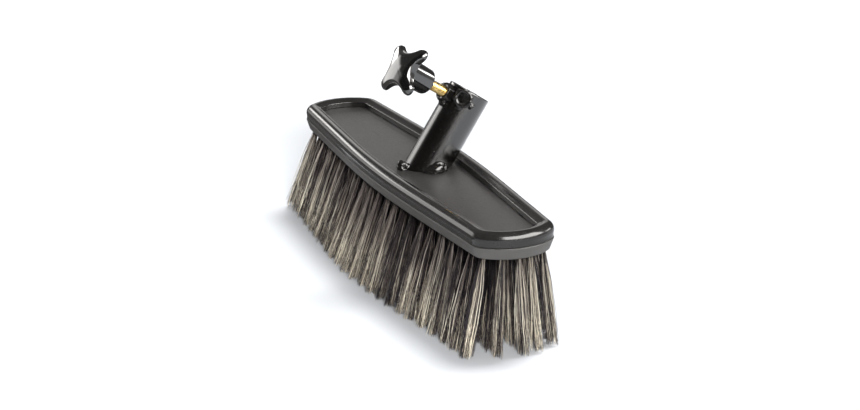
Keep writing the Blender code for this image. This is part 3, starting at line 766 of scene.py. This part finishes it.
def makeKnob():
    # Rings go from the bore over the hub, under the roof, round the rim and over the domed top.
    start, hubRound, rimRound = knob["hubStart"], knob["hubRound"], knob["rimRound"]
    hubRadius, hubEnd, topRound = knob["hubRadius"], knob["hubEndRadius"], knob["topRound"]
    under = start + knob["hubLength"]
    rim = under + knob["rimHeight"]
    lowest = under + rimRound
    inner = knobOutline(knob["wall"])
    innerReach = np.linalg.norm(inner, axis=1)
    ways = inner / innerReach[:, None]
    # Where the hub nearly fills the hollow, between the lobes, the roof comes down to the rim.
    room = np.clip((innerReach - hubRadius) / knob["roomWidth"], 0, 1)
    room = room * room * (3 - 2 * room)
    rings = []

    def addRing(shape, height):
        rings.append(ringAt(shape, height))

    addRing(ways * knob["boreRadius"], start + knob["boreDepth"])
    addRing(ways * knob["boreRadius"], start + knob["boreChamfer"])
    addRing(ways * (knob["boreRadius"] + knob["boreChamfer"]), start)
    for x, z in arc(hubRound, -90, 0, steps=6):
        addRing(ways * (hubEnd - hubRound + x), start + hubRound + z)
    for share in knob["hubShares"]:
        height = start + hubRound + (lowest - knob["hubDrop"] - start - hubRound) * share
        addRing(ways * (hubEnd + (hubRadius - hubEnd) * share), height)
    hubWall = ways * hubRadius
    edge = ways * np.maximum(innerReach, hubRadius + knob["leastRoom"])[:, None]
    for share, drop in knob["roofSteps"]:
        shape = hubWall * (1 - share) + edge * share
        roof = rim + crownHeight(shape) - knob["roof"] - drop
        addRing(shape, lowest + (roof - lowest) * room)
    addRing(edge * knob["rimGrowth"], lowest - knob["rimDrop"])
    for x, z in arc(rimRound, 180, 270, steps=4)[1:]:
        shape = knobOutline(knob["wall"] - rimRound - x)
        reach = np.linalg.norm(shape, axis=1)
        least = hubRadius + knob["leastRim"] + x * knob["rimSpread"]
        addRing(shape * (np.maximum(reach, least) / reach)[:, None], lowest + z)
    for x, z in arc(rimRound, -90, 0, steps=5):
        addRing(knobOutline(rimRound - x), lowest + z)
    side = knobOutline(0.0)
    shoulder = rim + crownHeight(side) - topRound
    for share in knob["sideShares"]:
        addRing(side, lowest + (shoulder - lowest) * share)
    for x, z in arc(topRound, 0, 90, steps=10):
        shape = knobOutline(topRound - x)
        addRing(shape, rim + crownHeight(shape) - topRound + z)
    last = knobOutline(topRound)
    for share in knob["topShares"]:
        addRing(last * share, rim + crownHeight(last * share))
    points, faces = placed(np.concatenate(rings), screwSpot), cappedFaces(len(rings), len(inner))
    makePiece("clampKnob", points, faces, knobPlastic, "knob", ["clamp_knob"], sharp=knob["sharp"])


makeKnob()
print("screw and knob made")


# Bristles: tufts in rows; each hair a tapered three-sided strand with a bow and a slight wave

bristles = {
    "rows": 5, "tufts": 23, "hairsOuter": 300, "hairsInner": 190, "clumps": 44, "seed": 100,
    "rootInset": 0.0065, "rootRadius": 0.0015, "rootZ": 0.0522, "rootMix": (0.85, 0.15),
    # The flare moves the tips outwards in proportion; the two values along are those of the -X and +X ends.
    "tipSpread": 0.0050, "tipMix": (0.52, 0.42, 0.14), "flareAlong": (0.095, 0.060), "flareAcross": 0.72,
    "endLoss": 0.75, "endPower": 6, "innerWidth": 3.3, "innerTipShare": 0.25, "endFrom": 0.96,
    "unevenTips": 0.0019, "shortShare": 0.12, "shortTips": 0.0060, "highestTip": 0.012, "tipZ": 0.0002,
    "hairRadius": 0.00011, "radiusSpread": (0.75, 1.25), "paleRadius": 1.7,
    "tipShare": 0.35, "taperPower": 1.6, "steps": (0.0, 0.34, 0.68, 1.0), "sides": 3,
    "bow": 0.0006, "wave": 0.00035, "waveCount": 1.5,
    "lowestLine": 0.0001, "lowestPoint": 0.00005,
    # Tone 0 is the darkest and 1 the palest; those of tufts, clumps and hairs are standard deviations.
    "paleShare": 0.24, "paleTone": 0.80, "darkTone": 0.27, "toneLimits": (0.01, 0.99),
    "tuftTones": 0.05, "clumpTones": 0.38, "hairTones": 0.18, "innerRowShade": -0.30, "innerShadeFade": 8,
    # By place along the head, from -1 to 1: painted light and shade on the row nearest the camera, and the
    # light at the roots that lessens their painted shade.
    "nearRowLightAndShade": ((-1.0, -0.6, -0.2, 0.5, 0.85, 1.0), (0.11, 0.09, -0.01, -0.06, -0.24, -0.18)),
    "toneBehind": -0.06, "rootShadeLift": ((-1.0, -0.4, 0.88, 1.0), (0.25, 0.0, 0.0, 0.4)),
}


def discPoints(random, count):
    # Spread evenly over a disc of radius 1: any turn, and the square root of a random share as the reach.
    turn = random.uniform(0, 2 * np.pi, count)
    reach = np.sqrt(random.uniform(0, 1, count))
    return circle(reach, turn)


def tuftCentres(across):
    # Tufts lie evenly along a row; across is the row's place, -1 at the near flank and 1 at the far one.
    corner = np.array(head["length"] / 2 - head["endSetback"])
    reach = endOffset(across * flankOffset(corner, bristles["rootInset"]), bristles["rootInset"])
    along = 2 * np.arange(bristles["tufts"]) / (bristles["tufts"] - 1) - 1
    tuftX = reach * along
    return tuftX, across * flankOffset(tuftX, bristles["rootInset"]), tuftX / reach


def hairShapes(line, ahead, spin, thick):
    # A three-sided tube round each hair's line: line + thick (cos a sideways + sin a other).
    count, rings, sides = len(line), line.shape[1], bristles["sides"]
    sideways = np.cross(ahead, [0, 1.0, 0])
    sideways /= np.linalg.norm(sideways, axis=1)[:, None]
    other = np.cross(ahead, sideways)
    around = np.cos(spin)[:, :, None] * sideways[:, None, :] + np.sin(spin)[:, :, None] * other[:, None, :]
    points = line[:, :, None, :] + around[:, None, :, :] * thick[:, :, None, None]
    points[..., 2] = np.maximum(points[..., 2], bristles["lowestPoint"])
    first = (np.arange(count) * rings * sides)[:, None, None]
    quads = facesOfGrid(rings, sides, wrapCols=True)
    caps = np.array([np.arange(sides)[::-1], np.arange(sides) + (rings - 1) * sides])
    faces = [(first + quads[None]).reshape(-1, 4), (first + caps[None]).reshape(-1, sides)]
    return points.reshape(-1, 3), faces, quads


def makeTuftRow(row):
    # Roots fill a disc in each hole and tips a wider one below it, drawn together in clumps;
    # the centre line is root + (tip - root) t + bow 4 t (1 - t) + wave sin(2 pi k t + phase) t.
    random = np.random.default_rng(bristles["seed"] + row)
    across = 2 * (row - 1) / (bristles["rows"] - 1) - 1
    outer = row in (1, bristles["rows"])
    perTuft = bristles["hairsOuter"] if outer else bristles["hairsInner"]
    tufts, clumps = bristles["tufts"], bristles["clumps"]
    tuftX, tuftY, place = tuftCentres(across)
    # The side away from the camera splays less at the ends, as the photo shows at the near end.
    loss = bristles["endLoss"] if across > 0 else 0
    flare = bristles["flareAcross"] * (1 - loss * np.abs(place) ** bristles["endPower"])
    flareAlong = np.where(tuftX < 0, *bristles["flareAlong"])
    count = tufts * perTuft
    tuft = np.repeat(np.arange(tufts), perTuft)
    clump = tuft * clumps + random.integers(0, clumps, count)
    clumpRoots = discPoints(random, tufts * clumps)
    clumpTips = discPoints(random, tufts * clumps)
    byClump, byHair = bristles["rootMix"]
    rootSpot = (byClump * clumpRoots[clump] + byHair * discPoints(random, count)) * bristles["rootRadius"]
    byRoot, byTip, byHair = bristles["tipMix"]
    tipSpot = byRoot * clumpRoots[clump] + byTip * clumpTips[clump] + byHair * discPoints(random, count)
    tipSpot = tipSpot * bristles["tipSpread"]
    # Inner rows are wider along the head, so that less daylight shows between tufts; not at the ends.
    if not outer:
        wider = 1 + (bristles["innerWidth"] - 1) * (np.abs(place) < bristles["endFrom"])[tuft]
        rootSpot[:, 0] *= wider
        tipSpot[:, 0] *= 1 + (wider - 1) * bristles["innerTipShare"]
    centreX, centreY = tuftX[tuft], tuftY[tuft]
    roots = ringAt(np.column_stack([centreX, centreY]) + rootSpot, bristles["rootZ"])
    # Tips end a little above the ground, and some hairs are shorter than the rest.
    uneven = np.abs(random.normal(0, bristles["unevenTips"], count))
    short = random.uniform(0, 1, count) < bristles["shortShare"]
    tipZ = uneven + short * random.uniform(0, bristles["shortTips"], count)
    tips = np.column_stack([
        centreX * (1 + flareAlong[tuft]) + tipSpot[:, 0], centreY * (1 + flare[tuft]) + tipSpot[:, 1],
        np.minimum(tipZ, bristles["highestTip"]) + bristles["tipZ"],
    ])
    steps, level = np.array(bristles["steps"]), np.array([1, 1, 0])
    t = steps[None, :, None]
    line = roots[:, None, :] * (1 - t) + tips[:, None, :] * t
    bow = random.normal(0, bristles["bow"], (count, 1, 3)) * level
    bow = bow + random.normal(0, bristles["bow"], (tufts * clumps, 1, 3))[clump] * level
    phase = random.uniform(0, 2 * np.pi, (count, 1, 1))
    swing = random.normal(0, bristles["wave"], (count, 1, 3)) * level
    line = line + bow * 4 * t * (1 - t) + swing * np.sin(2 * np.pi * bristles["waveCount"] * t + phase) * t
    line[:, :, 2] = np.maximum(line[:, :, 2], bristles["lowestLine"])
    ahead = tips - roots
    ahead /= np.linalg.norm(ahead, axis=1)[:, None]
    spin = random.uniform(0, 2 * np.pi, (count, 1)) + fullTurn(bristles["sides"])[None, :]
    pale = random.uniform(0, 1, count) < bristles["paleShare"]
    taper = 1 - (1 - bristles["tipShare"]) * steps[None, :] ** bristles["taperPower"]
    thick = bristles["hairRadius"] * random.uniform(*bristles["radiusSpread"], (count, 1)) * taper
    thick = thick * np.where(pale, bristles["paleRadius"], 1.0)[:, None]
    points, faces, quads = hairShapes(line, ahead, spin, thick)
    # Most hairs are dark; the pale ones are thicker. A tuft shifts the tone a little and a clump more,
    # and the near row's tufts grow darker towards the near end, as the photo shows.
    # The near row's drift along the head is painted light and shade: lighter towards the -X end, darker
    # towards the near end; the rows behind take a fixed shift instead.
    drift = np.interp(place, *bristles["nearRowLightAndShade"]) if row == 1 else bristles["toneBehind"]
    tuftToneAndShade = (random.normal(0, bristles["tuftTones"], tufts) + drift)[tuft]
    clumpTone = random.normal(0, bristles["clumpTones"], tufts * clumps)[clump]
    # Rows behind the outer ones are darkened by painted shade, except at the ends of the head, where they are
    # seen themselves.
    inner = (0 if outer else bristles["innerRowShade"]) * (1 - (np.abs(place) ** bristles["innerShadeFade"])[tuft])
    tone = np.where(pale, bristles["paleTone"], bristles["darkTone"]) + inner + tuftToneAndShade + clumpTone
    tone = np.clip(tone + random.normal(0, bristles["hairTones"], count), *bristles["toneLimits"])
    lift = np.interp(place, *bristles["rootShadeLift"])[tuft][:, None, None]

    def hairMap(way):
        # U is the tone. V is the way along, made lighter at the root by the lift, which lessens the painted
        # root shade: way + (1 - way) lift.
        pairs = np.broadcast_arrays(tone[:, None, None], way + (1 - way) * lift)
        return np.stack(pairs, axis=-1).reshape(-1, way.shape[-1], 2)

    quadWay = np.repeat(steps, bristles["sides"])[quads][None]
    capWay = np.repeat([[0.0], [1.0]], bristles["sides"], axis=1)[None]
    makePiece(f"tuftRow{row}", points, faces, hair, "head", [f"tuft_row_{row}"],
              uvSets=[hairMap(quadWay), hairMap(capWay)])


for rowNumber in range(1, bristles["rows"] + 1):
    makeTuftRow(rowNumber)
print("bristles made")


# Nodes that keep their shape take a finish here

def dress(node, material):
    for place in nodes[node].material_slots:
        place.material = material


dress("back_plate", platePaint)
dress("pressure_pad", brass)
for number in range(1, 7):
    dress(f"plate_screw_{number}", steel)
print("carried-over nodes dressed")


# Floor, light and camera

# Near the brush the floor keeps its shadow; from liftFrom to liftTo the camera sees it lifted to white.
floorLook = {
    "size": 8.0, "colour": (0.56, 0.57, 0.588), "roughness": 0.9,
    "lift": 0.45, "liftFrom": 0.22, "liftTo": 0.55,
}
ambientLook = {"colour": (0.96, 0.98, 1.0), "strength": 0.32}
# Lamps: azimuth from +X towards +Y and elevation seen from the brush, distance, size and power.
lamps = {
    "fillPanel": {"azimuth": -17.0, "elevation": 21.0, "distance": 2.0, "size": (0.4, 0.35), "power": 58.0},
    "backPanel": {"azimuth": 112.0, "elevation": 70.0, "distance": 2.2, "size": (0.6, 0.6), "power": 60.0},
}
lampTarget = (0, 0, 0.05)
# A dome that only reflections see: its level is low up to the edge, and past the edge's softness high.
dome = {
    "radius": 2.4, "low": 1.25, "high": 0.12, "edge": (20.0, 8.0), "colour": (1.0, 0.975, 0.95),
    "azimuthStep": 1.5, "lowest": -3, "elevationSteps": 94,
}
# Painted on the dome: azimuth and elevation ranges, edge softness and the level inside them.
panels = [
    {"azimuth": (-112.0, -17.0), "elevation": (-90.0, 62.0), "softness": (10.0, 20.0), "level": 0.02},
    {"azimuth": (-13.0, 50.0), "elevation": (-90.0, 8.0), "softness": (5.0, 8.0), "level": 1.1},
    {"azimuth": (56.0, 76.0), "elevation": (-90.0, 14.0), "softness": (6.0, 3.0), "level": 0.45},
    {"azimuth": (96.0, 142.0), "elevation": (-90.0, 60.0), "softness": (4.0, 10.0), "level": 0.10},
    {"azimuth": (146.0, 205.0), "elevation": (-90.0, 6.0), "softness": (6.0, 4.0), "level": 0.25},
    {"azimuth": (169.0, 200.0), "elevation": (-90.0, 90.0), "softness": (4.0, 4.0), "level": 0.20},
    {"azimuth": (-164.0, -143.0), "elevation": (1.0, 10.0), "softness": (6.0, 3.0), "level": 1.5},
    {"azimuth": (-149.0, -131.0), "elevation": (4.0, 26.0), "softness": (5.0, 5.0), "level": 3.2},
    {"azimuth": (-174.0, -153.0), "elevation": (17.5, 23.0), "softness": (4.0, 2.5), "level": 7.5},
    {"azimuth": (-12.0, 66.0), "elevation": (19.0, 50.0), "softness": (6.0, 3.5), "level": 15.0},
    {"azimuth": (80.0, 91.0), "elevation": (13.5, 16.5), "softness": (4.0, 1.5), "level": 13.0},
]
# Grey cards low over the floor, again only for reflections, keep outlines and the sides of the head dark.
cards = {
    "leftCard": {"x": (-1.7, -0.19), "y": (-1.1, 1.1), "height": 0.002, "level": 0.20},
    "frontCard": {"x": (-0.19, 0.04), "y": (-0.6, -0.05), "height": 0.002, "level": 0.28},
}


def flatSheet(name, x, y, z):
    mesh = bpy.data.meshes.new(name)
    corners = [(x[0], y[0], z), (x[1], y[0], z), (x[1], y[1], z), (x[0], y[1], z)]
    mesh.from_pydata(corners, [], [(0, 1, 2, 3)])
    return mesh


def makeFloor():
    half = floorLook["size"] / 2
    floor = addObject("studioFloor", flatSheet("studioFloor", (-half, half), (-half, half), 0))
    material, tree, shader = newFinish("floorWhite")
    shader.inputs["Base Color"].default_value = (*floorLook["colour"], 1)
    shader.inputs["Roughness"].default_value = floorLook["roughness"]
    shader.inputs["Specular IOR Level"].default_value = 0.0
    rays = addNode(tree, "ShaderNodeLightPath")
    place = addNode(tree, "ShaderNodeTexCoord").outputs["Object"]
    reach = addNode(tree, "ShaderNodeVectorMath", {0: place}, operation="LENGTH").outputs["Value"]
    far = addRange(tree, reach, (floorLook["liftFrom"], floorLook["liftTo"]), (0.0, floorLook["lift"]),
                   interpolation_type="SMOOTHSTEP")
    lift = addMath(tree, "MULTIPLY", rays.outputs["Is Camera Ray"], far)
    glow = addNode(tree, "ShaderNodeEmission", {"Color": (1, 1, 1, 1), "Strength": lift})
    both = addNode(tree, "ShaderNodeAddShader", {0: shader.outputs["BSDF"], 1: glow.outputs["Emission"]})
    tree.links.new(both.outputs["Shader"], tree.nodes["Material Output"].inputs["Surface"])
    floor.data.materials.append(material)


def makeWorld():
    # White to the camera and in reflections, and a plain low level as light.
    world = bpy.data.worlds.new("studioWorld")
    bpy.context.scene.world = world
    world.use_nodes = True
    tree = world.node_tree
    ambient = tree.nodes["Background"]
    ambient.inputs["Color"].default_value = (*ambientLook["colour"], 1)
    ambient.inputs["Strength"].default_value = ambientLook["strength"]
    white = addNode(tree, "ShaderNodeBackground", {"Color": (1, 1, 1, 1), "Strength": 1.0})
    rays = addNode(tree, "ShaderNodeLightPath").outputs
    seen = addMath(tree, "MAXIMUM", rays["Is Camera Ray"], rays["Is Glossy Ray"])
    seen = addMath(tree, "MAXIMUM", seen, rays["Is Transmission Ray"])
    both = addNode(tree, "ShaderNodeMixShader", {
        "Fac": seen, 1: ambient.outputs["Background"], 2: white.outputs["Background"],
    })
    tree.links.new(both.outputs["Shader"], tree.nodes["World Output"].inputs["Surface"])


def aim(item, target, away, distance):
    # Puts a lamp or camera at the distance from its target and turns it to look there.
    item.location = Vector(target) + away * distance
    item.rotation_mode = "QUATERNION"
    item.rotation_quaternion = (-away).to_track_quat("-Z", "Y")


def addLamp(name, look):
    a, e = math.radians(look["azimuth"]), math.radians(look["elevation"])
    lamp = bpy.data.lights.new(name, "AREA")
    lamp.shape = "RECTANGLE"
    lamp.size, lamp.size_y = look["size"]
    lamp.energy = look["power"]
    item = addObject(name, lamp)
    away = Vector((math.cos(a) * math.cos(e), math.sin(a) * math.cos(e), math.sin(e)))
    aim(item, lampTarget, away, look["distance"])
    item.visible_camera = item.visible_glossy = False


def addReflector(name, mesh, levels):
    # A sheet that glows by a level at each point and is seen by reflections alone.
    item = addObject(name, mesh)
    layer = mesh.attributes.new("glow", "FLOAT", "POINT")
    layer.data.foreach_set("value", levels.ravel().astype(np.float32))
    material, tree, shader = newFinish(name + "Glow")
    level = addNode(tree, "ShaderNodeAttribute", attribute_name="glow").outputs["Fac"]
    glow = addNode(tree, "ShaderNodeEmission", {"Color": (*dome["colour"], 1), "Strength": level})
    tree.links.new(glow.outputs["Emission"], tree.nodes["Material Output"].inputs["Surface"])
    mesh.materials.append(material)
    item.visible_camera = item.visible_diffuse = item.visible_shadow = item.visible_transmission = False


def softWindow(value, low, high, softness):
    # One between the limits and a smooth fall to zero over the softness outside them.
    rise = np.clip((value - low) / softness + 1, 0, 1)
    fall = np.clip((high - value) / softness + 1, 0, 1)
    both = rise * fall
    return both * both * (3 - 2 * both)


def makeReflectionDome():
    # A half sphere by azimuth and elevation: pale low down, dark above, and the panels painted on it in turn.
    azimuth = np.arange(-180, 180, dome["azimuthStep"])
    elevation = np.linspace(dome["lowest"], 90, dome["elevationSteps"])
    azimuthGrid, elevationGrid = np.meshgrid(azimuth, elevation)
    a, e = np.radians(azimuthGrid), np.radians(elevationGrid)
    points = dome["radius"] * np.stack([np.cos(a) * np.cos(e), np.sin(a) * np.cos(e), np.sin(e)], axis=-1)
    low = softWindow(elevationGrid, -90, *dome["edge"])
    levels = dome["low"] * low + dome["high"] * (1 - low)
    for panel in panels:
        for lap in (-360, 0, 360):
            share = softWindow(azimuthGrid + lap, *panel["azimuth"], panel["softness"][0])
            share = share * softWindow(elevationGrid, *panel["elevation"], panel["softness"][1])
            levels = levels * (1 - share) + panel["level"] * share
    mesh = bpy.data.meshes.new("reflectionDome")
    faces = facesOfGrid(*azimuthGrid.shape, wrapCols=True)
    mesh.from_pydata(points.reshape(-1, 3).tolist(), [], faces.tolist())
    addReflector("reflectionDome", mesh, levels)


# The camera's azimuth is from -Y towards +X, and its shifts are shares of the picture's width.
view = {
    "azimuth": 67.165, "elevation": 17.979, "target": (0.0, -0.0014, 0.058), "distance": 1.2551,
    "lens": 94.015, "sensor": 36.0, "shiftX": 0.013736, "shiftY": -0.037820, "clip": (0.01, 100.0),
}


def makeCamera():
    a, e = math.radians(view["azimuth"]), math.radians(view["elevation"])
    lens = bpy.data.cameras.new("photoCamera")
    lens.sensor_width, lens.lens = view["sensor"], view["lens"]
    lens.sensor_fit = "HORIZONTAL"
    lens.shift_x, lens.shift_y = view["shiftX"], view["shiftY"]
    lens.clip_start, lens.clip_end = view["clip"]
    camera = addObject("photoCamera", lens)
    away = Vector((math.sin(a) * math.cos(e), -math.cos(a) * math.cos(e), math.sin(e)))
    aim(camera, view["target"], away, view["distance"])
    bpy.context.scene.camera = camera


makeFloor()
makeWorld()
for lampName, lampLook in lamps.items():
    addLamp(lampName, lampLook)
makeReflectionDome()
for cardName, card in cards.items():
    sheet = flatSheet(cardName, card["x"], card["y"], card["height"])
    addReflector(cardName, sheet, np.full(4, card["level"]))
makeCamera()
bpy.context.scene.view_settings.view_transform = "Standard"
print("studio made")
